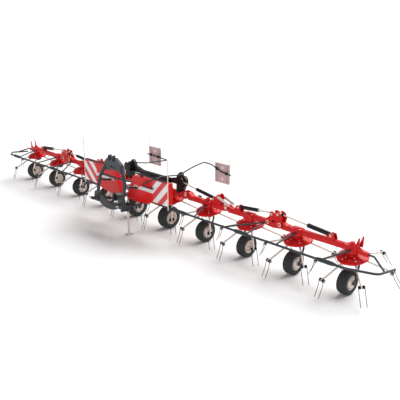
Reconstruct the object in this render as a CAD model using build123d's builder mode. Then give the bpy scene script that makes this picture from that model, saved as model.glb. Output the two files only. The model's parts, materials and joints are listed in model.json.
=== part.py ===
from build123d import *
from math import cos, radians, sin, tan
import os

# Ten-rotor mounted hay tedder, spread out for work and parked on its wheels and stand.
# Millimetres. X across the width, -Y towards the tractor, Z up, ground at Z = 0.
# The machine is drawn with the rotor line on Y = 0 and moved by FRAME_SHIFT_Y at the end.

# ---- driving dimensions ----
PITCH = 1050                    # rotor to rotor
TUBE_Z = 740                    # axis of the red carrying tube
TUBE = 90                       # its square section
WALL = 8
TILT = 11                       # rotor axis leans, so that the tines touch at the front
ROTOR_Z = 610                   # rotor datum on its own axis
GUARD_Y, GUARD_Z, GUARD_R = -580, 660, 19
LIFT = (1030, 800)              # wing lift hinge, X and Z
FLOAT = (2100, 780)             # middle rotor's float hinge
FOLD_A = (3085, 765)            # fold hinge, middle frame to fold bracket
FOLD_B = (3345, 775)            # fold hinge, fold bracket to outer frame
LIFT_EYE = (840, 1000)          # lift cylinder's rod pin on the cross beam's bracket
WHEEL_Y = -70
HITCH_Y, HITCH_Z, HITCH_HALF = -1250, 670, 412
FRAME_SHIFT_Y = 179.5

SMALL_WHEEL = dict(radius=202.5, width=165)
LARGE_WHEEL = dict(radius=227.5, width=210)

AXIS = Vector(0, -sin(radians(TILT)), cos(radians(TILT)))
ROTOR_Y = (TUBE_Z - ROTOR_Z) * tan(radians(TILT))
SHIFT = Location((0, FRAME_SHIFT_Y, 0))

os.makedirs("parts", exist_ok=True)


def rotor_plane(x, height=0):
    base = Vector(x, ROTOR_Y, ROTOR_Z) + AXIS * height
    return Plane(origin=base, x_dir=(1, 0, 0), z_dir=AXIS)


def rod(start, end, radius, mode=Mode.ADD):
    """Round bar from one point to another."""
    way = Vector(*end) - Vector(*start)
    with BuildSketch(Plane(origin=start, z_dir=way)) as section:
        Circle(radius)
    extrude(section.sketch, amount=way.length, mode=mode)


def bent_rod(points, radius, bend):
    """Round bar or tube along a line with rounded corners."""
    with BuildLine() as path:
        FilletPolyline(*points, radius=bend)
    with BuildSketch(Plane(origin=path.wire() @ 0, z_dir=path.wire() % 0)) as section:
        Circle(radius)
    sweep(section.sketch, path=path.wire())


def bar_y(x, z, y0, y1, radius, mode=Mode.ADD):
    """Pin, boss or bore along Y."""
    rod((x, y0, z), (x, y1, z), radius, mode)


def side_plate(points, y0, thick, corner=0, mode=Mode.ADD):
    """Flat plate in the X-Z plane from y0 towards +Y."""
    with BuildSketch(Plane(origin=(0, y0, 0), x_dir=(1, 0, 0), z_dir=(0, -1, 0))) as outline:
        with BuildLine():
            Polyline(*points, close=True)
        make_face()
        if corner:
            fillet(outline.vertices(), corner)
    extrude(outline.sketch, amount=-thick, mode=mode)


def square_tube(x0, x1, z=TUBE_Z, size=TUBE):
    """Hollow square tube along X with closed ends."""
    with BuildSketch(Plane.YZ.offset(x0)) as outside:
        with Locations((0, z)):
            RectangleRounded(size, size, 12)
    extrude(outside.sketch, amount=x1 - x0)
    with BuildSketch(Plane.YZ.offset(x0 + WALL)) as inside:
        with Locations((0, z)):
            RectangleRounded(size - 2 * WALL, size - 2 * WALL, 5)
    extrude(inside.sketch, amount=x1 - x0 - 2 * WALL, mode=Mode.SUBTRACT)


def gearbox(x, cap_height=48):
    """Cast bevel gearbox that the tube runs into, with its round foot on the rotor axis."""
    with BuildSketch(rotor_plane(x, 57)) as foot:
        Circle(82)
    extrude(foot.sketch, amount=80, taper=6)
    with BuildSketch(Plane.XY.offset(692)) as body:
        with Locations((x, 0)):
            RectangleRounded(220, 140, 28)
    extrude(body.sketch, amount=98)
    with BuildSketch(Plane.XY.offset(790)) as cap:
        with Locations((x, 0)):
            Circle(42)
    extrude(cap.sketch, amount=cap_height, taper=8)


def leg(x, side, wheel):
    """Fixed post through the rotor, its clamp block, the bent strut and the stub axle."""
    with BuildSketch(rotor_plane(x, -140)) as post:
        Circle(36)
    extrude(post.sketch, amount=197)
    with BuildSketch(rotor_plane(x, -142)) as clamp:
        RectangleRounded(96, 104, 12)
    extrude(clamp.sketch, amount=56)
    low = rotor_plane(x, -114).origin
    reach = wheel["width"] / 2 + 36
    hub_z = wheel["radius"]
    bent_rod(
        [
            (x, low.Y, low.Z),
            (x + side * reach, low.Y, low.Z),
            (x + side * reach, WHEEL_Y, hub_z - 6),
        ],
        17,
        44,
    )
    rod((x + side * (reach + 18), WHEEL_Y, hub_z), (x - side * 40, WHEEL_Y, hub_z), 15)
    rod((x + side * (reach + 18), WHEEL_Y, hub_z), (x + side * (reach - 14), WHEEL_Y, hub_z), 26)


def guard_sleeve(x0, x1):
    """Thicker clamping sleeve round the guard tube, tapered at both ends."""
    with BuildSketch(Plane.XY) as half:
        with BuildLine():
            Polyline((x0, 0), (x0, 20), (x0 + 70, 34), (x1 - 70, 34), (x1, 20), (x1, 0), close=True)
        make_face()
    sleeve = Solid.revolve(half.sketch.faces()[0], 360, Axis.X)
    add(sleeve.moved(Pos(0, GUARD_Y, GUARD_Z)))


def guard_strut(x, guard_x, guard_z=GUARD_Z):
    """Flattened stay from a gearbox's front to the guard tube."""
    start = Vector(x, -60, 716)
    end = Vector(guard_x, GUARD_Y, guard_z)
    way = end - start
    across = Vector(1, 0, 0)
    for begin, length, width0, width1 in ((0, 0.42, 64, 26), (0.42, 0.58, 26, 26)):
        with BuildSketch(Plane(origin=start + way * begin, x_dir=across, z_dir=way)) as near:
            RectangleRounded(width0, 22, 6)
        with BuildSketch(Plane(origin=start + way * (begin + length), x_dir=across, z_dir=way)) as far:
            RectangleRounded(width1, 22, 6)
        loft([near.sketch.faces()[0], far.sketch.faces()[0]])


def both_sides(name, right):
    """Writes the right-hand piece and its mirror image."""
    for tag, body in (("r", right), ("l", mirror(right, about=Plane.YZ))):
        with BuildPart() as piece:
            add(body)
        piece.part.label = f"{name}_{tag}"
        export_step(piece.part.moved(SHIFT), f"parts/{name}_{tag}.step")


def write(name, body):
    body.label = name
    export_step(body.moved(SHIFT), f"parts/{name}.step")


# ---- rotor: dished hub, six arms, coils and tines, one welded and bolted unit ----
ARMS = 6
ARM_PHASE = 15
ARM_END = (600, -185)           # radius and height of the tine holder
TINE_TIP = (738, -452)
TINE_HALF_SPACING = 42
with BuildPart() as rotor:
    with BuildSketch(Plane.XZ):
        with BuildLine():
            Polyline(
                (42, -50), (66, -50), (66, 12), (120, 8), (238, -14), (242, -36),
                (250, -36), (250, -8), (205, 14), (118, 28), (84, 50), (42, 50), close=True,
            )
        make_face()
    revolve(axis=Axis.Z)
    for arm in range(ARMS):
        turn = Rot(0, 0, ARM_PHASE + 360 / ARMS * arm)
        radial = Plane(turn * Location((0, 0, 0)))
        inner = Vector(60, 0, -8)
        outer = Vector(ARM_END[0], 0, ARM_END[1])
        way = outer - inner
        with BuildSketch(radial * Plane(origin=inner, x_dir=(0, 1, 0), z_dir=way)) as root:
            Rectangle(44, 30)
        with BuildSketch(radial * Plane(origin=outer, x_dir=(0, 1, 0), z_dir=way)) as end:
            Rectangle(30, 24)
        loft([root.sketch.faces()[0], end.sketch.faces()[0]])
        with BuildSketch(radial * Plane(origin=(600, 66, -190), x_dir=(1, 0, 0), z_dir=(0, -1, 0))):
            RegularPolygon(24, 8)
        extrude(amount=132)
        for across in (-TINE_HALF_SPACING, TINE_HALF_SPACING):
            tine_plane = Plane(origin=(0, across + 5, 0), x_dir=(1, 0, 0), z_dir=(0, -1, 0))
            with BuildSketch(radial * tine_plane):
                with BuildLine():
                    Polyline(
                        (604, -196), (612, -190), (650, -286), (TINE_TIP[0] + 5, TINE_TIP[1]),
                        (TINE_TIP[0] - 4, TINE_TIP[1]), (641, -284), close=True,
                    )
                make_face()
            extrude(amount=10)

# ---- wheel: tyre, dished rim and hub ----


def wheel_solid(radius, width):
    half = width / 2
    rim = 104 if radius < 210 else 116
    with BuildPart() as wheel:
        with BuildSketch(Plane.XZ):
            with BuildLine():
                Polyline(
                    (16, -34), (44, -34), (44, -10), (rim - 16, -10), (rim - 10, -half + 26),
                    (rim + 6, -half + 16), (rim + 12, -half + 4), (radius - 52, -half),
                    (radius - 16, -half + 9), (radius - 3, -half + 34), (radius, 0),
                    (radius - 3, half - 34), (radius - 16, half - 9), (radius - 52, half),
                    (rim + 12, half - 4), (rim + 6, half - 16), (rim - 10, half - 26),
                    (rim - 16, 12), (44, 12), (44, 34), (16, 34), close=True,
                )
            make_face()
        revolve(axis=Axis.Z)
    return wheel.part


small = wheel_solid(**SMALL_WHEEL)
large = wheel_solid(**LARGE_WHEEL)

for number in range(1, 11):
    x = (number - 5.5) * PITCH
    frame = Location(rotor_plane(x))
    with BuildPart() as piece:
        add(rotor.part.moved(frame))
    write(f"rotor_{number:02d}", piece.part)
    size = LARGE_WHEEL if number in (5, 6) else SMALL_WHEEL
    with BuildPart() as piece:
        add((large if number in (5, 6) else small).moved(Pos(x, WHEEL_Y, size["radius"]) * Rot(0, 90, 0)))
    write(f"wheel_{number:02d}", piece.part)

# ---- centre frame, red ----
with BuildPart() as centre:
    square_tube(-985, 985, z=TUBE_Z - 5)
    for x in (-525, 525):
        gearbox(x)
    for side in (-1, 1):
        for y0 in (-78, 58):
            side_plate(
                [
                    (side * 860, 700), (side * 1000, 748), (side * 1066, 784), (side * 1066, 816),
                    (side * 1010, 842), (side * 930, 840), (side * 840, 790),
                ],
                y0, 20, 8,
            )
        with BuildSketch(Plane.YZ.offset(side * 900)):
            with Locations((0, 800)):
                Rectangle(116, 40)
        extrude(amount=side * 60)
        bar_y(side * LIFT[0], LIFT[1], -90, 90, 19)
    # central bevel gearbox that the drive shaft enters from the front
    with BuildSketch(Plane.XY.offset(640)):
        with Locations((0, -60)):
            RectangleRounded(230, 240, 50)
    extrude(amount=150)
    with BuildSketch(Plane.XZ.offset(170)):
        with Locations((0, 715)):
            Circle(62)
    extrude(amount=60, taper=8)
write("centre_frame", centre.part)

# ---- centre guard and wheel legs, charcoal ----
with BuildPart() as centre_guard:
    rod((-1040, GUARD_Y, GUARD_Z), (1040, GUARD_Y, GUARD_Z), GUARD_R)
    for x, side in ((-525, 1), (525, -1)):
        leg(x, side, LARGE_WHEEL)
        guard_strut(x, x * 1.1)
    add(centre.part, mode=Mode.SUBTRACT)
write("centre_guard", centre_guard.part)

# ---- wing frames, red: inner, middle, outer ----
with BuildPart() as inner:
    square_tube(1076, 2055)
    gearbox(1575)
    with BuildSketch(Plane.XZ.offset(-50)):
        with BuildLine():
            Polyline((1076, 700), (1180, 700), (1180, 785), (1100, 850), (1040, 838), (1000, 812),
                     (1000, 788), (1040, 762), close=True)
        make_face()
    extrude(amount=100)
    bar_y(*LIFT, -60, 60, 19.6, Mode.SUBTRACT)
    for y0 in (-52, 34):
        side_plate([(1690, 786), (1960, 786), (1935, 975), (1880, 985), (1790, 900), (1735, 900)], y0, 18, 10)
    bar_y(1760, 868, -56, 56, 12)
    for y0 in (-74, 54):
        side_plate([(1960, 700), (2080, 736), (2138, 764), (2138, 796), (2080, 822), (1960, 786)], y0, 20, 8)
    with BuildSketch(Plane.YZ.offset(1990)):
        with Locations((0, 740)):
            Rectangle(110, 60)
    extrude(amount=50)
    bar_y(*FLOAT, -84, 84, 17)
both_sides("inner_frame", inner.part)

with BuildPart() as middle:
    square_tube(2146, 3036)
    gearbox(2625, cap_height=14)
    with BuildSketch(Plane.XZ.offset(-48)):
        with BuildLine():
            Polyline((2146, 700), (2220, 700), (2220, 785), (2130, 815), (2082, 806), (2068, 780),
                     (2082, 754), close=True)
        make_face()
    extrude(amount=96)
    bar_y(*FLOAT, -60, 60, 17.6, Mode.SUBTRACT)
    for y0 in (-48, 32):
        side_plate([(2290, 784), (2450, 784), (2412, 882), (2348, 882)], y0, 16, 10)
    bar_y(2380, 850, -52, 52, 11)
    with BuildSketch(Plane.XZ.offset(-48)):
        with BuildLine():
            Polyline((2960, 698), (3036, 698), (3110, 728), (3126, 765), (3110, 800), (3070, 810),
                     (2960, 782), close=True)
        make_face()
    extrude(amount=96)
    bar_y(*FOLD_A, -60, 60, 19.6, Mode.SUBTRACT)
both_sides("middle_frame", middle.part)

with BuildPart() as outer:
    square_tube(3392, 4800)
    gearbox(3675, cap_height=14)
    gearbox(4725)
    with BuildSketch(Plane.XZ.offset(-48)):
        with BuildLine():
            Polyline((3500, 698), (3392, 698), (3325, 730), (3304, 775), (3325, 812), (3370, 818),
                     (3500, 782), close=True)
        make_face()
    extrude(amount=96)
    bar_y(*FOLD_B, -60, 60, 19.6, Mode.SUBTRACT)
    for y0 in (-48, 32):
        side_plate([(4270, 784), (4430, 784), (4396, 878), (4318, 878)], y0, 16, 10)
    bar_y(4350, 845, -52, 52, 11)
    with BuildSketch(Plane.YZ.offset(4780)):
        with Locations((0, 735)):
            RectangleRounded(80, 84, 10)
    with BuildSketch(Plane.YZ.offset(5020)):
        with Locations((0, 706)):
            RectangleRounded(62, 62, 10)
    loft()
    for y0 in (-62, 50):
        side_plate([(4790, 780), (4870, 770), (4880, 944), (4862, 950), (4830, 860)], y0, 12, 5)
both_sides("outer_frame", outer.part)

# ---- wing guards and wheel legs, charcoal ----
with BuildPart() as inner_guard:
    rod((1062, GUARD_Y, GUARD_Z), (2086, GUARD_Y, GUARD_Z), GUARD_R)
    guard_sleeve(1140, 1640)
    leg(1575, 1, SMALL_WHEEL)
    guard_strut(1575, 1820)
    add(inner.part, mode=Mode.SUBTRACT)
both_sides("inner_guard", inner_guard.part)

with BuildPart() as middle_guard:
    rod((2114, GUARD_Y, GUARD_Z), (3190, GUARD_Y, GUARD_Z), GUARD_R)
    guard_sleeve(2780, 3120)
    leg(2625, -1, SMALL_WHEEL)
    rod((3010, -42, 730), (2560, GUARD_Y, GUARD_Z), 15)
    rod((3010, -42, 730), (3060, GUARD_Y, GUARD_Z), 15)
    add(middle.part, mode=Mode.SUBTRACT)
both_sides("middle_guard", middle_guard.part)

with BuildPart() as outer_guard:
    bent_rod(
        [
            (3222, GUARD_Y, GUARD_Z), (4980, GUARD_Y, GUARD_Z - 4),
            (5385, -330, 608), (5400, 110, 562),
        ],
        GUARD_R, 160,
    )
    guard_sleeve(4480, 4840)
    leg(3675, 1, SMALL_WHEEL)
    leg(4725, 1, SMALL_WHEEL)
    guard_strut(3675, 3700)
    guard_strut(4725, 4560)
    bent_rod([(5020, 0, 706), (5110, 0, 706), (5392, -160, 592)], 15, 40)
    add(outer.part, mode=Mode.SUBTRACT)
both_sides("outer_guard", outer_guard.part)

# ---- fold bracket: two star-shaped plates with both fold pins and both rod pins ----
EYE_A = (3170, 920)
EYE_B = (3300, 940)
with BuildPart() as star:
    for y0 in (-70, 52):
        side_plate(
            [
                (3034, 742), (3062, 706), (3120, 700), (3215, 690), (3310, 704), (3372, 712),
                (3400, 752), (3380, 812), (3400, 880), (3360, 960), (3300, 984), (3250, 950),
                (3190, 966), (3134, 950), (3126, 880), (3046, 812),
            ],
            y0, 18, 14,
        )
    for x, z in (FOLD_A, FOLD_B):
        bar_y(x, z, -86, 86, 19)
    # each rod pin is two stubs, one from either plate, that end beside the rod's eye
    for x, z in (EYE_A, EYE_B):
        bar_y(x, z, -80, -17, 12)
        bar_y(x, z, 17, 80, 12)
    bar_y(3215, 800, -90, 90, 28, Mode.SUBTRACT)
    with BuildSketch(Plane.XZ.offset(-52)):
        with Locations((3215, 722)):
            Rectangle(60, 24)
    extrude(amount=104)
both_sides("fold_bracket", star.part)

# ---- cylinders, all in the Y = 0 plane: barrel with sleeve, then rod with eye ----
# name, barrel pin (x, z), rod pin (x, z), sleeve length, rod length inside the barrel at rest
CYLINDERS = (
    ("lift", (1760, 868), LIFT_EYE, 490, 58),
    ("fold_a", (2380, 850), EYE_A, 450, 140),
    ("fold_b", (4350, 845), EYE_B, 470, 160),
)
for name, base, eye, sleeve, inside in CYLINDERS:
    way = (Vector(eye[0], 0, eye[1]) - Vector(base[0], 0, base[1])).normalized()
    base_at = Vector(base[0], 0, base[1])
    eye_at = Vector(eye[0], 0, eye[1])
    with BuildPart() as barrel:
        rod(base_at + way * 24, base_at + way * sleeve, 28)
        bar_y(base[0], base[1], -18, 18, 28)
        bar_y(base[0], base[1], -20, 20, 12.6, Mode.SUBTRACT)
        rod(base_at + way * 50, base_at + way * (sleeve + 5), 13.2, Mode.SUBTRACT)
    both_sides(f"{name}_barrel", barrel.part)
    with BuildPart() as ram:
        rod(eye_at - way * 20, base_at + way * (sleeve - inside), 12)
        bar_y(eye[0], eye[1], -14, 14, 24)
        bar_y(eye[0], eye[1], -20, 20, 12.8, Mode.SUBTRACT)
    both_sides(f"{name}_rod", ram.part)

# ---- headstock, charcoal arch ----
with BuildPart() as headstock:
    for side in (-1, 1):
        # curved upright, wide at the foot and drawn in to the crest
        bent_rod(
            [
                (side * 384, -1112, 610), (side * 412, -1070, 880), (side * 392, -1030, 1080),
                (side * 236, -980, 1350),
            ],
            33, 130,
        )
        side_plate(
            [
                (side * 322, 590), (side * 448, 590), (side * 452, 660), (side * 440, 760),
                (side * 400, 800), (side * 340, 760),
            ],
            -1156, 96, 10,
        )
        rod((side * 366, -1110, HITCH_Z), (side * 366, HITCH_Y, HITCH_Z), 27)
        rod((side * 336, HITCH_Y, HITCH_Z), (side * 396, HITCH_Y, HITCH_Z), 31)
        rod((side * 340, HITCH_Y, HITCH_Z), (side * 478, HITCH_Y, HITCH_Z), 14)
        bent_rod(
            [(side * 400, -1040, 1000), (side * 430, -600, 900), (side * 430, -43.5, 745)], 22, 100,
        )
        bent_rod(
            [(side * 380, -1100, 640), (side * 330, -700, 560), (side * 300, -40, 700)], 26, 100,
        )
    # crest plate with its long slot
    with BuildSketch(Plane(origin=(0, -1012, 1372), x_dir=(1, 0, 0), z_dir=(0, -1, -0.14))) as crest:
        with BuildLine():
            Polyline(
                (-300, -130), (-262, 20), (-130, 118), (130, 118), (262, 20), (300, -130),
                (210, -168), (120, -120), (-120, -120), (-210, -168), close=True,
            )
        make_face()
        fillet(crest.vertices(), 16)
        with Locations((0, -58)):
            SlotOverall(190, 40, mode=Mode.SUBTRACT)
    extrude(amount=-62)
    rod((-368, -1022, 1120), (368, -1022, 1120), 19)
    # bowl-shaped lower cross plate
    with BuildSketch(Plane(origin=(0, -1062, 0), x_dir=(1, 0, 0), z_dir=(0, -1, 0))) as bowl:
        with BuildLine():
            low = ThreePointArc((-400, 640), (0, 505), (400, 640))
            right_end = Line(low @ 1, (400, 745))
            up = ThreePointArc((400, 745), (0, 628), (-400, 745))
            Line(up @ 1, low @ 0)
        make_face()
    extrude(amount=74)
    add(centre.part, mode=Mode.SUBTRACT)
write("headstock", headstock.part)

# ---- lugs of the top link on the crest, bored for its pin ----
with BuildPart() as lugs:
    for x in (-72, 46):
        side_plate([(x, 1440), (x + 26, 1440), (x + 20, 1548), (x + 4, 1548)], -1062, 80, 4)
    rod((-92, -1022, 1508), (92, -1022, 1508), 12.8, Mode.SUBTRACT)
    add(headstock.part, mode=Mode.SUBTRACT)
write("top_lugs", lugs.part)

# ---- drive shaft in its guard, from the arch to the centre gearbox ----
with BuildPart() as drive_line:
    with BuildSketch(Plane.XZ) as profile:
        with BuildLine():
            Polyline(
                (0, 232), (70, 232), (70, 244), (54, 300), (33, 330), (33, 800), (60, 860),
                (82, 960), (82, 986), (66, 986), (30, 940), (17, 940), (17, 1060), (0, 1060),
                close=True,
            )
        make_face()
    revolve(axis=Axis.Z)
    fixed = Location(Plane(origin=(0, 0, 715), x_dir=(1, 0, 0), z_dir=(0, -1, 0)))
drive = drive_line.part.moved(fixed)
with BuildPart() as drive_cut:
    add(drive)
    add(headstock.part, mode=Mode.SUBTRACT)
    add(centre.part, mode=Mode.SUBTRACT)
write("drive_line", drive_cut.part)

# ---- parking stand ----
STAND_X, STAND_Y = 300, -900
with BuildPart() as stand:
    rod((STAND_X, STAND_Y, 6), (STAND_X, STAND_Y, 700), 22)
    with BuildSketch(Plane.XY):
        with Locations((STAND_X, STAND_Y)):
            RectangleRounded(150, 150, 20)
    extrude(amount=10)
    for height in (320, 400, 680):
        rod((STAND_X - 40, STAND_Y, height), (STAND_X + 40, STAND_Y, height), 6.5, Mode.SUBTRACT)
    with BuildSketch(Plane.XY.offset(10)):
        with Locations((STAND_X, STAND_Y)):
            Circle(40)
    extrude(amount=40, taper=24)
write("stand_leg", stand.part)
with BuildPart() as socket:
    rod((STAND_X, STAND_Y, 470), (STAND_X, STAND_Y, 650), 34)
    with BuildSketch(Plane(origin=(STAND_X, -1062, 560), x_dir=(1, 0, 0), z_dir=(0, 1, 0))) as web:
        Rectangle(50, 130)
    extrude(amount=140)
    rod((STAND_X, STAND_Y, 460), (STAND_X, STAND_Y, 660), 24, Mode.SUBTRACT)
    add(headstock.part, mode=Mode.SUBTRACT)
write("stand_socket", socket.part)

# ---- hoods, red covers beside the headstock: pressed sheet, open behind ----
HOOD_FRONT = -768
HOOD_DEEP = 124
HOOD = [(86, 668), (306, 1160), (905, 1192), (1322, 1192), (1322, 790), (905, 752), (690, 690), (400, 660)]
with BuildPart() as hood:
    with BuildSketch(Plane(origin=(0, HOOD_FRONT, 0), x_dir=(1, 0, 0), z_dir=(0, -1, 0))) as front:
        with BuildLine():
            Polyline(*HOOD, close=True)
        make_face()
        fillet(front.vertices(), 10)
    extrude(amount=-HOOD_DEEP)
    rear = hood.faces().sort_by(Axis.Y)[-1]
    offset(amount=-4, openings=rear)
    add(headstock.part, mode=Mode.SUBTRACT)
both_sides("hood", hood.part)

# ---- warning boards with marker poles ----
with BuildPart() as boards:
    for side in (-1, 1):
        with BuildSketch(Plane(origin=(side * 1112, HOOD_FRONT, 985), x_dir=(1, 0, 0), z_dir=(0, -1, 0))):
            RectangleRounded(423, 423, 10)
        extrude(amount=5)
        rod((side * 1330, HOOD_FRONT - 2, 700), (side * 1330, HOOD_FRONT - 2, 1650), 8)
write("warning_boards", boards.part)

# ---- black cross beam with a cast bracket at each end for the lift cylinder's rod ----
BEAM_Y = 40
with BuildPart() as beam:
    with BuildSketch(Plane.YZ.offset(-440)) as section:
        with Locations((BEAM_Y, 930)):
            RectangleRounded(110, 120, 14)
            RectangleRounded(98, 108, 9, mode=Mode.SUBTRACT)
    extrude(amount=880)
    for side in (-1, 1):
        side_plate(
            [
                (side * 438, 908), (side * 660, 908), (side * 760, 920), (side * 800, 1000),
                (side * 800, 1150), (side * 740, 1168), (side * 690, 1120), (side * 640, 1040),
                (side * 438, 988),
            ],
            38, 57, 8,
        )
        side_plate(
            [
                (side * 742, 779), (side * 832, 779), (side * 862, 860), (side * 930, 960),
                (side * 926, 1050), (side * 880, 1098), (side * 802, 1098), (side * 778, 1000),
                (side * 746, 940),
            ],
            -54, 149, 8,
        )
        # slot that the cylinder swings in; its pin is a stub from either cheek
        with BuildSketch(Plane.XZ.offset(35)) as slot:
            with Locations((side * 880, 1010)):
                Rectangle(230, 220)
        extrude(slot.sketch, amount=-70, mode=Mode.SUBTRACT)
        bar_y(side * LIFT_EYE[0], LIFT_EYE[1], -60, -17, 12)
        bar_y(side * LIFT_EYE[0], LIFT_EYE[1], 17, 100, 12)
    add(centre.part, mode=Mode.SUBTRACT)
write("cross_beam", beam.part)

# ---- bent tubes that carry the rear signs, and the front pipe over the right hood ----
SIGN_Y = 905
with BuildPart() as sign_arms:
    bent_rod(
        [(-700, 60, 1100), (-640, 300, 1060), (-600, 882, 1030), (-1300, 882, 1062)], 13, 60,
    )
    bent_rod(
        [(760, 60, 1130), (740, 420, 1215), (650, 780, 1225), (760, 882, 1180), (1040, 882, 1080), (1300, 882, 1050)],
        13, 90,
    )
    bent_rod(
        [
            (800, 60, 1120), (860, -520, 1205), (985, -770, 1232), (860, -812, 1170),
            (664, -812, 1080), (690, -812, 1036), (960, -812, 1036),
        ],
        12, 26,
    )
    # clamps on the signs' backs, and feet of the twin pipes along the hoods
    for x, z in ((-1180, 1058), (-920, 1050), (920, 1124), (1180, 1066)):
        with BuildSketch(Plane(origin=(x, 862, z), x_dir=(1, 0, 0), z_dir=(0, 1, 0))):
            RectangleRounded(44, 56, 8)
        extrude(amount=35)
    for x, z in ((-1120, 1190), (-540, 1171), (540, 1171), (1120, 1190)):
        with BuildSketch(Plane(origin=(x, HOOD_FRONT + 30, z), x_dir=(1, 0, 0), z_dir=(0, 0, 1))):
            Rectangle(30, 60)
        extrude(amount=1208 - z)
    for side in (-1, 1):
        rod((side * 330, HOOD_FRONT + 14, 1216), (side * 1290, HOOD_FRONT + 14, 1216), 9)
        rod((side * 330, HOOD_FRONT + 44, 1216), (side * 1290, HOOD_FRONT + 44, 1216), 9)
    add(beam.part, mode=Mode.SUBTRACT)
    add(hood.part, mode=Mode.SUBTRACT)
    add(mirror(hood.part, about=Plane.YZ), mode=Mode.SUBTRACT)
write("sign_arms", sign_arms.part)

with BuildPart() as signs:
    for side in (-1, 1):
        with BuildSketch(Plane(origin=(side * 1050, SIGN_Y, 1045), x_dir=(1, 0, 0), z_dir=(0, -1, 0))):
            RectangleRounded(400, 400, 8)
        extrude(amount=8)
        rod((side * 1256, SIGN_Y - 4, 860), (side * 1256, SIGN_Y - 4, 1440), 6)
write("rear_signs", signs.part)
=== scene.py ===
import json
import math

import bmesh
import bpy
import numpy as np
from mathutils import Matrix


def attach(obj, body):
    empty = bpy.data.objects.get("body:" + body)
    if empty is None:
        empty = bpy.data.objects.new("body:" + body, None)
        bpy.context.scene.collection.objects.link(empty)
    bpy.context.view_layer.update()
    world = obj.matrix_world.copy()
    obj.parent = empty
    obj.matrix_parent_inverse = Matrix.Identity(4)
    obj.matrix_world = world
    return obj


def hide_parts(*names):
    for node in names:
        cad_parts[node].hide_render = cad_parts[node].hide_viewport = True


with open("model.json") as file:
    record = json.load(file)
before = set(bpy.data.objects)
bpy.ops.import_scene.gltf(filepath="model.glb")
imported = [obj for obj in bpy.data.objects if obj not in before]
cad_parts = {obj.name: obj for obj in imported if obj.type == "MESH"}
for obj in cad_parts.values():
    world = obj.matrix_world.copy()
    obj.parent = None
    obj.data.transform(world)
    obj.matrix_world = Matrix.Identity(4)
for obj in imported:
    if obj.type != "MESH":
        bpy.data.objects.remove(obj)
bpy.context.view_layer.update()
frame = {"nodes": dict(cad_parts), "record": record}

# Ten-rotor hay tedder in its finishes. Metres, in the frame of the CAD model:
# X along the rotor line, -Y towards the tractor, Z up from the ground.

# ---- driving dimensions, as in the part's source ----
PITCH = 1.05                        # rotor to rotor
ROTORS = 10
LINE_Y = 0.1795                     # the carrying tubes' axis
TILT = math.radians(11)             # lean of the rotors' axes
ROTOR_Z = 0.61
ROTOR_Y = LINE_Y + (0.74 - ROTOR_Z) * math.tan(TILT)
WHEEL_Y = LINE_Y - 0.07
ARMS = 6
ARM_PHASE = math.radians(15)
COIL_AT = (0.604, -0.190)           # radius and height of the tine coils in the rotor's own frame
COIL_INSIDE, COIL_OUTSIDE, COIL_RIDGE = 0.014, 0.0245, 0.0032
COIL_FROM, COIL_LENGTH = 0.012, 0.036
WINDING_RADIUS = 0.0215             # middle of the wire in the coil's outer turn
TINE_Y, TINE_RADIUS = 0.0465, 0.005
TINE_KINK, TINE_TIP = (0.650, -0.288), (0.7375, -0.4515)
SMALL_TYRE = dict(radius=0.2025, width=0.165, rim=0.104)
LARGE_TYRE = dict(radius=0.2275, width=0.21, rim=0.116)
GROOVE = 0.0022                     # depth of the tyre's grooves
WHEEL_BOLTS, WHEEL_BOLT_RING = 5, 0.068
LARGE_WHEELS = (5, 6)
# by rotor: the side of its wheel on which the leg stands, and the body that carries its gearbox
LEG_SIDES = {5: 1, 6: -1, 7: 1, 8: -1, 9: 1, 10: 1, 4: -1, 3: 1, 2: -1, 1: -1}
OWNER = {5: "machine", 6: "machine", 7: "inner_r", 8: "middle_r", 9: "outer_r", 10: "outer_r",
         4: "inner_l", 3: "middle_l", 2: "outer_l", 1: "outer_l"}
SIDES = (("r", 1), ("l", -1))

# hydraulic cylinders: name, barrel pin (x, z), rod pin (x, z), sleeve's end, sleeve's radius, end of the
# cover at the rod's eye (0 for none); the two ends are distances from their pins
CYLINDERS = (
    ("lift", (1.76, 0.868), (0.84, 1.0), 0.49, 0.031, 0),
    ("fold_a", (2.38, 0.85), (3.17, 0.92), 0.45, 0.032, 0.07),
    ("fold_b", (4.35, 0.845), (3.30, 0.94), 0.47, 0.036, 0.07),
)
SLEEVE_START, COVER_START, COVER_RADIUS = 0.052, 0.036, 0.023
ROD_FIT = 0.0133                    # radius of the hole in sleeves and covers, clear of the rod

# flat colours laid over a sheet or a coat, and where they lie
MARKS_FRONT = LINE_Y - 0.765        # the hoods are plain behind this plane
MARKS_LOW, MARKS_HIGH, MARKS_LEAN = 0.93, 0.995, 0.9
MARKS = ((0.30, 0.335), (0.365, 0.41), (0.44, 0.90))
BARS_START, BARS_PITCH = 0.17, 0.283    # one red and one white bar, measured along X
BOARD_EDGE = 1.3215                 # beyond it stands a warning board's pole
SIGN_X, SIGN_Z, SIGN_EDGE = 1.05, 1.045, 1.2505
STRIP_INNER, STRIP_OUTER = 0.135, 0.15
BOSS_RISE, BOSS_RADIUS = 0.115, 0.036
POLE_COLOUR = "#e6d2c8"

# pins under washers and domed heads, by the body that carries them: x, z, half length along Y, radius
CAPPED_PINS = {
    "star": ((3.085, 0.765, 0.070, 0.024), (3.345, 0.775, 0.070, 0.024),
             (3.17, 0.92, 0.070, 0.015), (3.30, 0.94, 0.070, 0.015)),
    "inner": ((2.1, 0.78, 0.074, 0.021), (1.76, 0.868, 0.052, 0.015)),
    "middle": ((2.38, 0.85, 0.048, 0.014),),
    "outer": ((4.35, 0.845, 0.048, 0.014),),
}
WING_HINGE = (1.03, 0.8, 0.078, 0.024)
# gearbox bolts: four at the lid's corners and four on a ring round the cap
LID_BOLT_X, LID_BOLT_Y, LID_TOP = 0.088, 0.05, 0.79
CAP_BOLT_RING, CAP_TOP = 0.031, 0.803
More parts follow.
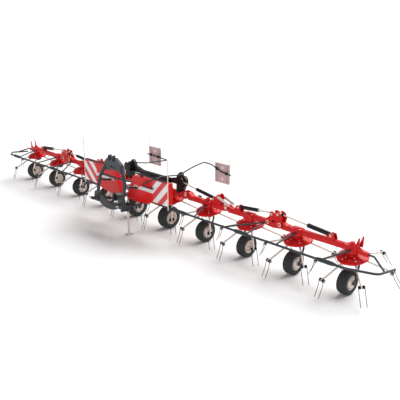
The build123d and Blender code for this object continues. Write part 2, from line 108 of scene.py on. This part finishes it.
# float links, drive coupling, lower-link pins
LINK_TOP, LINK_FOOT, LINK_HALF_WIDTH = (1.885, 0.935), (2.165, 0.842), 0.026
COUPLING_X, COUPLING_Z = 3.215, 0.80
HITCH_Y, HITCH_Z = LINE_Y - 1.25, 0.67
HITCH_PIN_FROM, HITCH_PIN_LENGTH, LINCH_X = 0.398, 0.080, 0.466

# studio
FLOOR_REACH = 200
SCREEN_RADIUS, SCREEN_FOOT, SCREEN_TOP = 180, -1.0, 28.0


def rotor_x(number):
    """Place of a rotor along the machine, counted from the left wing's end."""
    return (number - (ROTORS + 1) / 2) * PITCH


# ---- materials ----
def srgb(code):
    """Linear colour of an sRGB hex value."""
    channels = np.array([int(code[i:i + 2], 16) for i in (1, 3, 5)]) / 255
    linear = np.where(channels <= 0.04045, channels / 12.92, ((channels + 0.055) / 1.055) ** 2.4)
    return (*linear.tolist(), 1.0)


def add_node(tree, kind, attributes=None, values=None, links=None):
    """Adds one shader node, sets its attributes and socket values, and links its inputs."""
    node = tree.nodes.new(kind)
    for name, value in (attributes or {}).items():
        setattr(node, name, value)
    for name, value in (values or {}).items():
        node.inputs[name].default_value = value
    for name, source in (links or {}).items():
        tree.links.new(source, node.inputs[name])
    return node


def new_material(name, **sockets):
    """A named material with a Principled shader whose constant sockets are set directly."""
    material = bpy.data.materials.new(name)
    material.use_nodes = True
    shader = material.node_tree.nodes["Principled BSDF"]
    for socket, value in sockets.items():
        shader.inputs[socket.replace("_", " ")].default_value = value
    return material, material.node_tree, shader


def mottle(tree, shader, light, dark, scale, roughness=None):
    """Base colour, and roughness where given, that drift between two values in soft patches, as wear
    and dust do; returns the node that gives the Object coordinates."""
    place = add_node(tree, "ShaderNodeTexCoord")
    noise = add_node(tree, "ShaderNodeTexNoise",
                     values={"Scale": scale, "Detail": 5.0, "Roughness": 0.6},
                     links={"Vector": place.outputs["Object"]})
    blend = add_node(tree, "ShaderNodeMix", {"data_type": "RGBA"}, {6: srgb(light), 7: srgb(dark)},
                     {0: noise.outputs["Fac"]})
    tree.links.new(blend.outputs[2], shader.inputs["Base Color"])
    if roughness:
        spread = add_node(tree, "ShaderNodeMapRange", values={3: roughness[0], 4: roughness[1]},
                          links={0: noise.outputs["Fac"]})
        tree.links.new(spread.outputs[0], shader.inputs["Roughness"])
    return place


def grain(tree, shader, place, scale, depth):
    """Fine bump of the given scale (per metre) and depth (metres)."""
    noise = add_node(tree, "ShaderNodeTexNoise", values={"Scale": scale, "Detail": 3.0},
                     links={"Vector": place.outputs["Object"]})
    bump = add_node(tree, "ShaderNodeBump", values={"Strength": 0.6, "Distance": depth},
                    links={"Height": noise.outputs["Fac"]})
    tree.links.new(bump.outputs["Normal"], shader.inputs["Normal"])


def powder_coat(name, light, dark, coat, roughness):
    """Sprayed and baked paint on steel: even colour, soft gloss, faint orange peel about 3 mm wide."""
    material, tree, shader = new_material(name, Coat_Weight=coat, Coat_Roughness=0.15,
                                          Specular_IOR_Level=0.25)
    place = mottle(tree, shader, light, dark, 2.2, roughness)
    grain(tree, shader, place, 330, 0.0004)
    return material


def zinc_plate(name):
    """Zinc-plated and passivated steel: pale warm grey, half-dull, cloudy spangle about 20 mm wide."""
    material, tree, shader = new_material(name, Metallic=0.25)
    place = mottle(tree, shader, "#e6dad3", "#c9bab2", 48, (0.34, 0.5))
    grain(tree, shader, place, 600, 0.0002)
    return material


def tyre_rubber(name):
    """Black carbon-filled rubber: nearly matt, greyed by dust, with fine moulding grain."""
    material, tree, shader = new_material(name, Specular_IOR_Level=0.35)
    place = mottle(tree, shader, "#383a3b", "#262829", 14, (0.72, 0.9))
    grain(tree, shader, place, 260, 0.0006)
    return material


def spring_steel(name):
    """Oil-hardened spring wire with a thin dark lacquer."""
    material, tree, shader = new_material(name, Metallic=0.5)
    place = mottle(tree, shader, "#23282b", "#15181a", 30, (0.35, 0.5))
    grain(tree, shader, place, 500, 0.0002)
    return material


def pattern(tree, place, rows):
    """Works out masks from the Object coordinates x, y and z, one row at a time: the result's name, an
    arithmetic operation, and its terms, each a number or the name of an earlier result."""
    split = add_node(tree, "ShaderNodeSeparateXYZ", links={"Vector": place.outputs["Object"]})
    known = dict(zip("xyz", split.outputs))
    for name, operation, *terms in rows:
        values = {i: term for i, term in enumerate(terms) if not isinstance(term, str)}
        links = {i: known[term] for i, term in enumerate(terms) if isinstance(term, str)}
        step = add_node(tree, "ShaderNodeMath", {"operation": operation}, values, links)
        known[name] = step.outputs[0]
    return known


def between(name, value, low, high):
    """Rows of a pattern that give 1 where low < value < high, else 0."""
    return (
        (f"{name}_above", "GREATER_THAN", value, low),
        (f"{name}_below", "LESS_THAN", value, high),
        (name, "MULTIPLY", f"{name}_above", f"{name}_below"),
    )


def paint_over(tree, shader, mask, colour):
    """Lays a second flat colour over the base colour wherever the mask is 1."""
    base = shader.inputs["Base Color"].links[0].from_socket
    blend = add_node(tree, "ShaderNodeMix", {"data_type": "RGBA"}, {7: srgb(colour)}, {0: mask, 6: base})
    tree.links.new(blend.outputs[2], shader.inputs["Base Color"])


def board_sheet(name):
    """Retro-reflective sheet on aluminium: red and white bars 100 mm wide that slant at 45 degrees, and
    a pale pole beside it."""
    material, tree, shader = new_material(name, Coat_Weight=0.3, Coat_Roughness=0.2)
    place = mottle(tree, shader, "#e9e6e3", "#dcd8d5", 9, (0.4, 0.55))
    marks = pattern(tree, place, (
        ("side", "ABSOLUTE", "x"),
        ("slope", "SUBTRACT", "side", "z"),
        ("shifted", "ADD", "slope", BARS_START),
        ("pairs", "DIVIDE", "shifted", BARS_PITCH),
        ("phase", "FRACT", "pairs"),
        ("red", "GREATER_THAN", "phase", 0.5),
        ("board", "LESS_THAN", "side", BOARD_EDGE),
        ("red_bar", "MULTIPLY", "red", "board"),
        ("pole", "GREATER_THAN", "side", BOARD_EDGE),
    ))
    paint_over(tree, shader, marks["red_bar"], "#cf1f2e")
    paint_over(tree, shader, marks["pole"], POLE_COLOUR)
    return material


def hood_paint(name):
    """The red coat with two short pale marks and a long one on each hood's front, their ends slanted."""
    material, tree, shader = new_material(name, Coat_Weight=0.12, Coat_Roughness=0.12,
                                          Specular_IOR_Level=0.25)
    place = mottle(tree, shader, "#e00a10", "#c8070c", 2.2, (0.32, 0.42))
    marks = pattern(tree, place, (
        ("side", "ABSOLUTE", "x"),
        ("front", "LESS_THAN", "y", MARKS_FRONT),
        ("rise", "SUBTRACT", "z", MARKS_LOW),
        ("slant", "MULTIPLY", "rise", MARKS_LEAN),
        ("lean", "SUBTRACT", "side", "slant"),
        *between("level", "z", MARKS_LOW, MARKS_HIGH),
        *between("first", "lean", *MARKS[0]),
        *between("second", "lean", *MARKS[1]),
        *between("third", "lean", *MARKS[2]),
        ("short", "ADD", "first", "second"),
        ("all", "ADD", "short", "third"),
        ("on_level", "MULTIPLY", "level", "all"),
        ("mark", "MULTIPLY", "on_level", "front"),
    ))
    paint_over(tree, shader, marks["mark"], "#d9d4d3")
    return material


def sign_sheet(name):
    """Pale sheet of the rear signs: two grey upright strips, two pale round bosses, pole beside it."""
    material, tree, shader = new_material(name, Coat_Weight=0.1)
    place = mottle(tree, shader, "#dccaca", "#cdbaba", 9, (0.45, 0.6))
    marks = pattern(tree, place, (
        ("side", "ABSOLUTE", "x"),
        ("from_middle", "SUBTRACT", "side", SIGN_X),
        ("offset", "ABSOLUTE", "from_middle"),
        *between("strip", "offset", STRIP_INNER, STRIP_OUTER),
        ("level", "SUBTRACT", "z", SIGN_Z),
        ("half", "ABSOLUTE", "level"),
        ("height", "SUBTRACT", "half", BOSS_RISE),
        ("height_squared", "MULTIPLY", "height", "height"),
        ("offset_squared", "MULTIPLY", "offset", "offset"),
        ("squares", "ADD", "height_squared", "offset_squared"),
        ("far", "SQRT", "squares"),
        ("boss", "LESS_THAN", "far", BOSS_RADIUS),
        ("pole", "GREATER_THAN", "side", SIGN_EDGE),
    ))
    paint_over(tree, shader, marks["strip"], "#8f8486")
    paint_over(tree, shader, marks["boss"], "#f4efee")
    paint_over(tree, shader, marks["pole"], POLE_COLOUR)
    return material


RED = powder_coat("red_powder_coat", "#dc0b12", "#bd060b", 0.1, (0.36, 0.48))
CHARCOAL = powder_coat("charcoal_powder_coat", "#3c4348", "#2d3337", 0.1, (0.42, 0.55))
BLACK = powder_coat("black_powder_coat", "#1a1b1c", "#0f1011", 0.15, (0.38, 0.5))
ZINC = zinc_plate("zinc_plated_steel")
RUBBER = tyre_rubber("tyre_rubber")
WIRE = spring_steel("lacquered_spring_wire")
BOARD = board_sheet("reflective_board_sheet")
HOOD = hood_paint("hood_powder_coat")
SIGN = sign_sheet("sign_sheet")


# ---- surfaces ----
def grid_faces(rows, columns):
    """Quads of a grid that is open along its rows and closed round its columns."""
    i, j = np.meshgrid(np.arange(rows - 1), np.arange(columns), indexing="ij")
    k = (j + 1) % columns
    near, far = i * columns, (i + 1) * columns
    quads = np.stack([near + j, near + k, far + k, far + j], axis=-1)
    return quads.reshape(-1, 4)


def grid_solid(points):
    """A tube of rings (rows, columns, 3) closed by one flat face at either end."""
    rows, columns = points.shape[:2]
    faces = grid_faces(rows, columns).tolist()
    faces.append(list(range(columns))[::-1])
    faces.append(list(range((rows - 1) * columns, rows * columns)))
    return points.reshape(-1, 3), faces


def ring_solid(points):
    """A closed ring of closed sections (rows, columns, 3), such as a tyre."""
    rows, columns = points.shape[:2]
    looped = np.concatenate([points, points[:1]])
    faces = grid_faces(rows + 1, columns) % (rows * columns)
    return looped[:-1].reshape(-1, 3), faces.tolist()


def piece(name, shapes, material, body, replaced=()):
    """One object from several (points, faces) shapes, with its faces outwards, shaded smooth up to
    35 degrees and riding on a body."""
    points = np.concatenate([p for p, _ in shapes])
    starts = np.cumsum([0] + [len(p) for p, _ in shapes])
    faces = [[index + start for index in face]
             for (_, part), start in zip(shapes, starts) for face in part]
    mesh = bpy.data.meshes.new(name)
    mesh.from_pydata(points.tolist(), [], faces)
    mesh.materials.append(material)
    shell = bmesh.new()
    shell.from_mesh(mesh)
    bmesh.ops.recalc_face_normals(shell, faces=shell.faces)
    shell.to_mesh(mesh)
    shell.free()
    mesh.update()
    mesh.shade_smooth()
    mesh.set_sharp_from_angle(angle=math.radians(35))
    item = bpy.data.objects.new(name, mesh)
    bpy.context.scene.collection.objects.link(item)
    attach(item, body)
    if replaced:
        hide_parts(*replaced)


def along_path(path, radius, side, count, flat=1.0):
    """Circle or ellipse carried along a path: point = path + radius * (cos a * n + flat * sin a * b),
    where b is perpendicular to the path and to the fixed vector side, and n to both."""
    path = np.asarray(path, float)
    tangent = np.gradient(path, axis=0)
    tangent /= np.linalg.norm(tangent, axis=1, keepdims=True)
    b = np.cross(tangent, np.asarray(side, float))
    b /= np.linalg.norm(b, axis=1, keepdims=True)
    n = np.cross(b, tangent)
    angle = np.linspace(0, 2 * np.pi, count, endpoint=False)[None, :, None]
    radius = np.broadcast_to(np.asarray(radius, float), (len(path),))[:, None, None]
    ring = radius * (np.cos(angle) * n[:, None] + flat * np.sin(angle) * b[:, None])
    return grid_solid(path[:, None] + ring)


def rounded_path(points, bend, steps):
    """Polyline whose inner corners become quadratic arcs that start a distance bend from the corner."""
    points = np.asarray(points, float)
    t = np.linspace(0, 1, steps)[:, None]
    parts = [points[:1]]
    for before, corner, after in zip(points[:-2], points[1:-1], points[2:]):
        a = corner + (before - corner) * min(bend / np.linalg.norm(before - corner), 0.5)
        c = corner + (after - corner) * min(bend / np.linalg.norm(after - corner), 0.5)
        parts.append((1 - t) ** 2 * a + 2 * t * (1 - t) * corner + t ** 2 * c)
    return np.concatenate(parts + [points[-1:]])


def turned(profile, origin, axis, count):
    """Profile of (distance along the axis, radius) revolved round the axis through the origin."""
    profile = np.asarray(profile, float)
    axis = np.asarray(axis, float) / np.linalg.norm(axis)
    helper = np.array([0.0, 0.0, 1.0]) if abs(axis[2]) < 0.9 else np.array([1.0, 0.0, 0.0])
    u = np.cross(helper, axis)
    u /= np.linalg.norm(u)
    v = np.cross(axis, u)
    angle = np.linspace(0, 2 * np.pi, count, endpoint=False)[None, :, None]
    along = profile[:, 0][:, None, None] * axis
    around = np.cos(angle) * u + np.sin(angle) * v
    return grid_solid(np.asarray(origin, float) + along + profile[:, 1][:, None, None] * around)


def hexagon(origin, axis, across, height):
    """Bolt head: a hexagonal prism whose top edge is drawn in, standing on the origin."""
    r = across / math.sqrt(3)
    return turned([(-0.001, r), (height * 0.75, r), (height, r * 0.86)], origin, axis, 6)


def moved(shape, matrix, origin):
    """The shape with its points turned by a 3x3 matrix and moved to the origin."""
    points, faces = shape
    return points @ np.asarray(matrix).T + np.asarray(origin), faces


# ---- rotors ----
def rotor_frame(x):
    """Columns of the rotor's own axes in the machine's, and its origin."""
    c, s = math.cos(TILT), math.sin(TILT)
    return np.array([[1, 0, 0], [0, c, -s], [0, s, c]]), np.array([x, ROTOR_Y, ROTOR_Z])


def spin(angle):
    """Turn about the rotor's own axis."""
    c, s = math.cos(angle), math.sin(angle)
    return np.array([[c, -s, 0], [s, c, 0], [0, 0, 1]])


def dish():
    """Pressed dish: a profile of radius and height revolved, with its height raised by radial ribs,
    ribs = 4 mm * max(0, cos(12 a)) ** 3, and its rim drawn in by 5 mm between the arms."""
    profile = np.array([
        (0.066, -0.048), (0.066, 0.008), (0.12, 0.004), (0.235, -0.018), (0.238, -0.036),
        (0.249, -0.036), (0.2495, -0.012), (0.244, -0.004), (0.225, 0.004), (0.205, 0.012),
        (0.165, 0.021), (0.118, 0.028), (0.096, 0.033), (0.088, 0.046), (0.083, 0.0495),
        (0.042, 0.0495), (0.042, -0.048),
    ])
    a = np.linspace(0, 2 * np.pi, 144, endpoint=False)[None, :]
    r, h = profile[:, :1], profile[:, 1:]
    on_top = ((r > 0.1) & (h > 0)).astype(float) * np.clip((0.235 - r) / 0.03, 0, 1)
    rise = 0.004 * np.clip(np.cos(12 * (a - ARM_PHASE)), 0, 1) ** 3 * on_top
    rim = 1 - 0.02 * (r > 0.2) * np.clip(-np.cos(6 * (a - ARM_PHASE)), 0, 1) ** 2
    points = np.stack([r * rim * np.cos(a), r * rim * np.sin(a), h + rise + 0 * a], axis=-1)
    return ring_solid(points)


def arm_shapes():
    """One tube arm, flattened at its root, and the forked holder that clamps the coils."""
    t = np.linspace(0, 1, 8)[:, None]
    start, end = np.array([0.075, 0, -0.012]), np.array([0.6, 0, -0.183])
    arm = along_path(start + (end - start) * t, 0.0185 - 0.0035 * t[:, 0], (0, 1, 0), 12)
    root = along_path(np.array([[0.10, 0, -0.014], [0.16, 0, -0.034], [0.235, 0, -0.0585]]),
                      [0.026, 0.025, 0.0195], (0, 1, 0), 12, 0.7)
    half = [(0.011, 0.022), (0.012, 0.0125), (0.049, 0.0125), (0.054, 0.0115), (0.054, 0.007)]
    bobbin = [(-along, radius) for along, radius in half[::-1]] + half
    return [arm, root, turned(bobbin, (COIL_AT[0], 0, COIL_AT[1]), (0, 1, 0), 14)]


def wire_path(side):
    """Tine: leaves the outer turn of its coil on an arc, then runs down with one kink to the tip."""
    angle = np.radians(np.linspace(100, -20, 9))
    y = side * TINE_Y
    turn = np.stack([COIL_AT[0] + WINDING_RADIUS * np.cos(angle), 0 * angle + y,
                     COIL_AT[1] + WINDING_RADIUS * np.sin(angle)], axis=1)
    kink = rounded_path([turn[-1], (TINE_KINK[0], y, TINE_KINK[1]), (TINE_TIP[0], y, TINE_TIP[1])], 0.03, 5)
    return np.concatenate([turn, kink[1:]])


def coil_drum(side):
    """Black coil of five close turns, as a hollow drum: outside radius 24.5 mm plus 3.2 mm * |sin|, with
    one hump a turn, inside radius 14 mm, revolved about the tangential axis."""
    u = np.linspace(0, 1, 16)
    outside = np.stack([COIL_FROM + COIL_LENGTH * u,
                        COIL_OUTSIDE + COIL_RIDGE * np.abs(np.sin(5 * np.pi * u))], axis=1)
    inside = [(COIL_FROM + COIL_LENGTH, COIL_INSIDE), (COIL_FROM, COIL_INSIDE)]
    section = np.concatenate([outside, inside])
    a = np.linspace(0, 2 * np.pi, 20, endpoint=False)[:, None]
    points = np.stack([COIL_AT[0] + section[:, 1] * np.cos(a) * side, side * section[:, 0] + 0 * a,
                       COIL_AT[1] + section[:, 1] * np.sin(a)], axis=-1)
    return ring_solid(points[::-1])


DISH = dish()
ARM = arm_shapes()
WIRES = [along_path(wire_path(side), TINE_RADIUS, (0, 1, 0), 8) for side in (-1, 1)]
COILS = [coil_drum(side) for side in (-1, 1)]
ARM_BOLTS = [hexagon((radius, 0, height), (0, 0, 1), 0.019, 0.009)
             for radius, height in ((0.135, 0.024), (0.205, 0.012))]
# one arm's pieces, repeated round the rotor: name, shapes, finish, slot
ARM_PIECES = (
    ("bolts", ARM_BOLTS, ZINC, "galvanised"),
    ("arms", ARM, ZINC, "galvanised"),
    ("coils", COILS, BLACK, "black"),
    ("tines", WIRES, WIRE, "black"),
)
for number in range(1, ROTORS + 1):
    base, origin = rotor_frame(rotor_x(number))
    body = f"rotor_{number:02d}"
    turns = [base @ spin(ARM_PHASE + k * 2 * math.pi / ARMS) for k in range(ARMS)]
    piece(f"{body}_dish", [moved(DISH, base, origin)], RED, body, replaced=(body,))
    for name, shapes, finish, slot in ARM_PIECES:
        repeated = [moved(shape, turn, origin) for turn in turns for shape in shapes]
        piece(f"{body}_{name}", repeated, finish, body)


# ---- wheels ----
def tyre(radius, width, rim):
    """Superellipse section, x = w/2 * sign(cos a) * |cos a| ** 0.5 and r = middle + height * sign(sin a)
    * |sin a| ** 0.62, carried round the axle, with shallow grooves round the tread and a shallow ring
    pressed into each side wall near the rim."""
    a = np.linspace(0, 2 * np.pi, 64, endpoint=False)[None, :]
    around = np.linspace(0, 2 * np.pi, 96, endpoint=False)[:, None]
    middle, height = (radius + rim) / 2, (radius - rim) / 2
    x = width / 2 * np.sign(np.cos(a)) * np.abs(np.cos(a)) ** 0.5
    r = middle + height * np.sign(np.sin(a)) * np.abs(np.sin(a)) ** 0.62
    tread = (np.sin(a) > 0.55) * (np.abs(x) < 0.43 * width)
    r = r - GROOVE * tread * (0.5 + 0.5 * np.cos(x / width * 2 * np.pi * 5))
    lip = GROOVE * np.exp(-((r - rim - 0.026) / 0.005) ** 2)
    x = x - np.sign(x) * lip
    return ring_solid(np.stack([x + 0 * around, -r * np.sin(around), r * np.cos(around)], axis=-1))


def rim_shapes(width, rim, side):
    """Dished disc with rolled flanges, a profile of axial place and radius revolved round the axle, with
    a hub drum towards the leg and five wheel bolts on the far side."""
    half = width / 2
    disc = np.array([
        (-half + 0.012, rim + 0.012), (-half + 0.006, rim + 0.010), (-half + 0.012, rim - 0.002),
        (-half + 0.045, rim - 0.010), (-0.012, rim - 0.014), (-0.016, rim - 0.030),
        (-0.020, 0.062), (-0.036, 0.055), (-0.040, 0.030), (-0.056, 0.026), (-0.058, 0.017),
        (0.052, 0.017), (0.058, 0.040), (0.052, 0.046), (0.010, 0.050), (-0.006, 0.066),
        (-0.004, rim - 0.034), (0.006, rim - 0.014), (half - 0.045, rim - 0.010),
        (half - 0.012, rim - 0.002), (half - 0.006, rim + 0.010), (half - 0.012, rim + 0.012),
    ])
    a = np.linspace(0, 2 * np.pi, 64, endpoint=False)[None, :]
    x, r = side * disc[:, :1] + 0 * a, disc[:, 1:]
    shapes = [ring_solid(np.stack([x, r * np.cos(a), r * np.sin(a) * side], axis=-1))]
    face = rim - 0.016
    drum = [
        (0.020, face), (half - 0.010, face), (half - 0.002, face - 0.004), (half + 0.001, face - 0.014),
        (half + 0.001, 0.056), (half + 0.010, 0.052), (half + 0.013, 0.046), (half + 0.013, 0.0175),
    ]
    shapes.append(turned(drum, (0, 0, 0), (side, 0, 0), 40))
    for k in range(WHEEL_BOLTS):
        angle = 2 * math.pi * k / WHEEL_BOLTS
        y, z = WHEEL_BOLT_RING * math.cos(angle), WHEEL_BOLT_RING * math.sin(angle)
        shapes.append(hexagon((-side * 0.019, y, z), (-side, 0, 0), 0.019, 0.012))
    return shapes


for number in range(1, ROTORS + 1):
    size = LARGE_TYRE if number in LARGE_WHEELS else SMALL_TYRE
    centre = np.array([rotor_x(number), WHEEL_Y, size["radius"]])
    body = f"wheel_{number:02d}"
    rubber = moved(tyre(**size), np.eye(3), centre)
    piece(f"{body}_tyre", [rubber], RUBBER, body, replaced=(body,))
    shapes = rim_shapes(size["width"], size["rim"], LEG_SIDES[number])
    piece(f"{body}_rim", [moved(shape, np.eye(3), centre) for shape in shapes], ZINC, body)


# ---- cylinders ----
def ribbed_sleeve(first, last, radius):
    """Corrugated guard from one distance to another along a cylinder: radius plus 2 mm * |sin|, with one
    hump every 16 mm, and a short cone at either end."""
    length = last - first
    u = np.linspace(0, 1, int(length / 0.004))
    hose = radius + 0.002 * np.abs(np.sin(np.pi * u * length / 0.016))
    profile = np.stack([first + u * length, hose], axis=1)
    start = [(first - 0.006, ROD_FIT), (first - 0.006, radius - 0.003)]
    end = [(last + 0.003, radius - 0.003), (last + 0.003, ROD_FIT)]
    return np.concatenate([start, profile, end])


for name, base, eye, sleeve, radius, cover in CYLINDERS:
    for tag, side in SIDES:
        start = np.array([side * base[0], LINE_Y, base[1]])
        end = np.array([side * eye[0], LINE_Y, eye[1]])
        way = (end - start) / np.linalg.norm(end - start)
        barrel, rod = f"{name}_barrel_{tag}", f"{name}_rod_{tag}"
        guard = turned(ribbed_sleeve(SLEEVE_START, sleeve, radius), start, way, 28)
        piece(f"{barrel}_sleeve", [guard], BLACK, barrel)
        gland = turned([(sleeve - 0.006, 0.0135), (sleeve - 0.006, 0.0262),
                        (sleeve + 0.012, 0.0262), (sleeve + 0.012, 0.0135)], start, way, 28)
        piece(f"{barrel}_gland", [gland], ZINC, barrel)
        if cover:
            guard = turned(ribbed_sleeve(COVER_START, cover, COVER_RADIUS), end, -way, 28)
            piece(f"{rod}_cover", [guard], BLACK, rod)

# ---- finishes of the CAD pieces ----
FINISHES = {"red_paint": RED, "black": BLACK, "galvanised": ZINC, "tyre": RUBBER}
slots = {part["node"]: part["material_slot"] for part in frame["record"]["subparts"]}
for name, node in frame["nodes"].items():
    finish = FINISHES.get(slots.get(name), CHARCOAL)
    if name.startswith("hood"):
        finish = HOOD
    if name == "warning_boards":
        finish = BOARD
    if name == "rear_signs":
        finish = SIGN
    node.data.materials.clear()
    node.data.materials.append(finish)

# ---- small hardware ----
for body in sorted(set(OWNER.values())):
    heads = []
    for number in range(1, ROTORS + 1):
        if OWNER[number] != body:
            continue
        x = rotor_x(number)
        for dx in (-LID_BOLT_X, LID_BOLT_X):
            for dy in (-LID_BOLT_Y, LID_BOLT_Y):
                heads.append(hexagon((x + dx, LINE_Y + dy, LID_TOP), (0, 0, 1), 0.017, 0.009))
        for k in range(4):
            angle = math.pi / 4 + k * math.pi / 2
            dx, dy = CAP_BOLT_RING * math.cos(angle), CAP_BOLT_RING * math.sin(angle)
            heads.append(hexagon((x + dx, LINE_Y + dy, CAP_TOP), (0, 0, 1), 0.011, 0.005))
    piece(f"{body}_gearbox_bolts", heads, ZINC, body)


def pin_caps(x, z, reach, radius):
    """Washer and domed head on both ends of a hinge pin that lies along Y."""
    shapes = []
    for way in (-1, 1):
        profile = [(0, radius * 0.4), (0, radius * 1.5), (0.004, radius * 1.5), (0.004, radius),
                   (0.010, radius * 0.9), (0.013, radius * 0.4)]
        shapes.append(turned(profile, (x, LINE_Y + way * reach, z), (0, way, 0), 24))
    return shapes


for tag, side in SIDES:
    for section, places in CAPPED_PINS.items():
        caps = [cap for x, *rest in places for cap in pin_caps(side * x, *rest)]
        piece(f"{section}_{tag}_pin_caps", caps, ZINC, f"{section}_{tag}")
caps = [cap for side in (-1, 1) for cap in pin_caps(side * WING_HINGE[0], *WING_HINGE[1:])]
piece("machine_pin_caps", caps, ZINC, "machine")


def plate(outline, y0, thick):
    """Flat plate: an outline of (x, z) points carried from y0 along Y, its edges drawn in by 1 mm."""
    outline = np.asarray(outline, float)
    middle = outline.mean(axis=0)
    inner = middle + (outline - middle) * (1 - 0.001 / np.abs(outline - middle).max())
    layers = [(inner, 0.0), (outline, 0.1), (outline, 0.9), (inner, 1.0)]
    points = np.stack([np.stack([edge[:, 0], np.full(len(edge), y0 + thick * t), edge[:, 1]], axis=1)
                       for edge, t in layers])
    x, z = outline.T
    area = np.sum(x * np.roll(z, -1) - np.roll(x, -1) * z)
    return grid_solid(points if area < 0 else points[:, ::-1])


def bar_outline(a, b, radius):
    """Outline of a bar with round ends: two half circles about a and b, joined by straights."""
    a, b = np.asarray(a, float), np.asarray(b, float)
    heading = math.atan2(b[1] - a[1], b[0] - a[0])
    half = np.linspace(-np.pi / 2, np.pi / 2, 8) + heading
    arc = np.stack([np.cos(half), np.sin(half)], axis=1) * radius
    return np.concatenate([b + arc, a - arc])


def linch_pin(place, length):
    """A straight upright pin, 7 mm thick, and its spring ring of 4.4 mm wire: a circle of radius 17 mm
    in the plane of X and Z, centred 12 mm above the pin's middle."""
    place, up, along = np.asarray(place, float), np.array([0.0, 0.0, 1.0]), np.array([1.0, 0.0, 0.0])
    t = np.linspace(0, 2 * np.pi, 25)[:-1, None]
    outward = np.cos(t) * up + np.sin(t) * along
    ring = place + up * 0.012 + 0.017 * outward
    a = np.linspace(0, 2 * np.pi, 8, endpoint=False)[None, :, None]
    third = np.cross(up, along)
    tube = ring[:, None] + 0.0022 * (np.cos(a) * outward[:, None] + np.sin(a) * third)
    pin = np.stack([place - up * length / 2, place + up * length / 2])
    return [ring_solid(tube), along_path(pin, 0.0035, along, 8)]


# float links: a pair of pale round-ended plates from each inner bracket to the middle frame
for tag, side in SIDES:
    top, foot = (side * LINK_TOP[0], LINK_TOP[1]), (side * LINK_FOOT[0], LINK_FOOT[1])
    outline = bar_outline(top, foot, LINK_HALF_WIDTH)
    links = [plate(outline, LINE_Y + y, 0.006) for y in (-0.062, 0.056)]
    links += pin_caps(*top, 0.062, 0.012)
    piece(f"float_link_{tag}", links, ZINC, f"inner_{tag}")

# coupling of the drive shafts between the fold hinges: a black toothed sleeve inside each bracket
u = np.linspace(0, 1, 17)
teeth = np.stack([-0.03 + 0.06 * u, 0.029 + 0.004 * (np.sin(8 * np.pi * u) > 0)], axis=1)
sleeve_profile = np.concatenate([[(-0.031, 0.01)], teeth, [(0.031, 0.01)]])
for tag, side in SIDES:
    sleeve = turned(sleeve_profile, (side * COUPLING_X, LINE_Y, COUPLING_Z), (1, 0, 0), 20)
    piece(f"fold_coupling_{tag}", [sleeve], BLACK, f"star_{tag}")

# lower-link pins: plated sleeves and linch pins
pin_profile = [(0.0, 0.0142), (HITCH_PIN_LENGTH - 0.001, 0.0142), (HITCH_PIN_LENGTH, 0.012)]
pins = []
for side in (-1, 1):
    pins.append(turned(pin_profile, (side * HITCH_PIN_FROM, HITCH_Y, HITCH_Z), (side, 0, 0), 28))
    pins += linch_pin((side * LINCH_X, HITCH_Y, HITCH_Z), 0.045)
piece("hitch_pins", pins, ZINC, "machine")

# ---- floor, light and camera ----
floor_mesh = bpy.data.meshes.new("floor")
corners = [(x * FLOOR_REACH, y * FLOOR_REACH, 0) for x, y in ((-1, -1), (1, -1), (1, 1), (-1, 1))]
floor_mesh.from_pydata(corners, [], [(0, 1, 2, 3)])
floor = bpy.data.objects.new("floor", floor_mesh)
bpy.context.scene.collection.objects.link(floor)
paper = new_material("white_paper", Base_Color=srgb("#f4f4f4"), Roughness=0.9, Specular_IOR_Level=0.1)
floor_mesh.materials.append(paper[0])

# lit screen right round the floor, so that the horizon is as white as the paper
turn = np.linspace(0, 2 * np.pi, 96, endpoint=False)
circle = np.stack([SCREEN_RADIUS * np.cos(turn), SCREEN_RADIUS * np.sin(turn), 0 * turn], axis=1)
screen_points = np.concatenate([circle + (0, 0, SCREEN_FOOT), circle + (0, 0, SCREEN_TOP)])
screen_mesh = bpy.data.meshes.new("screen")
screen_mesh.from_pydata(screen_points.tolist(), [], grid_faces(2, 96).tolist())
screen = bpy.data.objects.new("screen", screen_mesh)
bpy.context.scene.collection.objects.link(screen)
lit_cloth = new_material("lit_cloth", Base_Color=srgb("#000000"), Emission_Color=srgb("#ffffff"),
                         Emission_Strength=1.0, Specular_IOR_Level=0.0)
screen_mesh.materials.append(lit_cloth[0])
screen.visible_shadow = False

world = bpy.data.worlds.new("studio")
bpy.context.scene.world = world
world.use_nodes = True
world.node_tree.nodes["Background"].inputs["Color"].default_value = srgb("#ffffff")
world.node_tree.nodes["Background"].inputs["Strength"].default_value = 0.22


def lamp(name, kind, place, aim, strength, softness):
    """Soft lamp at a place, its -Z turned to the aim: a sun in watts a square metre with its angle, or a
    square panel in watts with its side."""
    data = bpy.data.lights.new(name, kind)
    data.energy = strength
    if kind == "SUN":
        data.angle = softness
    else:
        data.size = softness
    item = bpy.data.objects.new(name, data)
    z = np.asarray(place, float) - np.asarray(aim, float)
    z /= np.linalg.norm(z)
    x = np.cross([0, 0, 1.0], z)
    x /= np.linalg.norm(x)
    y = np.cross(z, x)
    item.matrix_world = Matrix([[x[i], y[i], z[i], place[i]] for i in range(3)] + [[0, 0, 0, 1]])
    bpy.context.scene.collection.objects.link(item)


lamp("key", "SUN", (0.5, 8.0, 9.0), (0, 0, 0), 4.3, math.radians(60))
lamp("fill", "AREA", (7.0, -12.0, 5.0), (0, 0, 0.5), 420, 6.0)

# the camera stands off the right wing, ahead of the machine, and looks down 17 degrees
camera_data = bpy.data.cameras.new("camera")
camera_data.lens = 57.06
camera_data.sensor_width = 36
camera_data.clip_end = 1000
camera = bpy.data.objects.new("camera", camera_data)
camera.location = (9.669, -7.853 + LINE_Y, 4.267)
camera.rotation_euler = (math.radians(90 - 17.11), 0, math.radians(46.63))
bpy.context.scene.collection.objects.link(camera)
bpy.context.scene.camera = camera
bpy.context.scene.view_settings.view_transform = "Standard"
